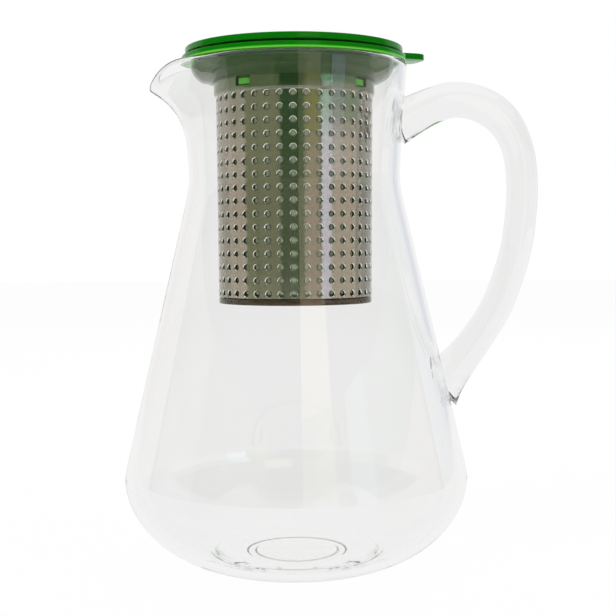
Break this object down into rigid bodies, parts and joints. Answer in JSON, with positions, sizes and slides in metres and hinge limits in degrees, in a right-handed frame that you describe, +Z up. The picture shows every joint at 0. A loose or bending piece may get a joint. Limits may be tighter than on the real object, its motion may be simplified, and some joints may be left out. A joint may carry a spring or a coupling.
{
  "type": "iced tea maker",
  "caption": "Clear glass jug with pouring lip and glass handle; its green lift-off lid carries a perforated brewing basket that a turning disc opens and closes.",
  "frame": {"origin": "centre of the jug's base, in the plane it stands on", "axes": "+Z up along the jug's axis; the spout points along -X and the handle along +X; the turning disc's thumb tab is 20 degrees round from +X towards +Y"},
  "size_m": [0.1778, 0.147, 0.2209],
  "materials": {
    "jug_glass": "clear, polished",
    "handle_glass": "clear, polished",
    "ring_green": "translucent green, glossy",
    "skirt_silicone": "pale green, translucent, satin",
    "disc_green": "green, glossy",
    "sleeve_smoke": "smoke grey, translucent",
    "side_mesh_steel": "fine woven wire",
    "floor_mesh_steel": "fine woven wire",
    "basket_smoke": "smoke grey, translucent, glossy",
    "base_dark": "dark smoke, glossy"
  },
  "bodies": {
    "jug": {"jug_body": "jug_glass", "jug_handle": "handle_glass"},
    "lid": {"lid_ring": "ring_green", "centring_skirt": "skirt_silicone"},
    "control": {"brew_sleeve": "sleeve_smoke", "side_mesh": "side_mesh_steel", "floor_mesh": "floor_mesh_steel"},
    "cap": {"turn_disc": "disc_green"},
    "basket": {"basket_wall": "basket_smoke", "basket_base": "base_dark"}
  },
  "joints": [
    {"name": "lid_lift", "type": "slide", "parent": "jug", "child": "lid", "axis": [0, 0, 1], "range_m": [0, 0.115]},
    {"name": "control_turn", "type": "hinge", "parent": "lid", "child": "control", "pos_m": [0, 0, 0.2], "axis": [0, 0, 1], "range_deg": [-45, 0]},
    {"name": "cap_lift", "type": "slide", "parent": "control", "child": "cap", "axis": [0, 0, 1], "range_m": [0, 0.03]},
    {"name": "basket_release", "type": "slide", "parent": "lid", "child": "basket", "axis": [0, 0, -1], "range_m": [0, 0.1]}
  ]
}
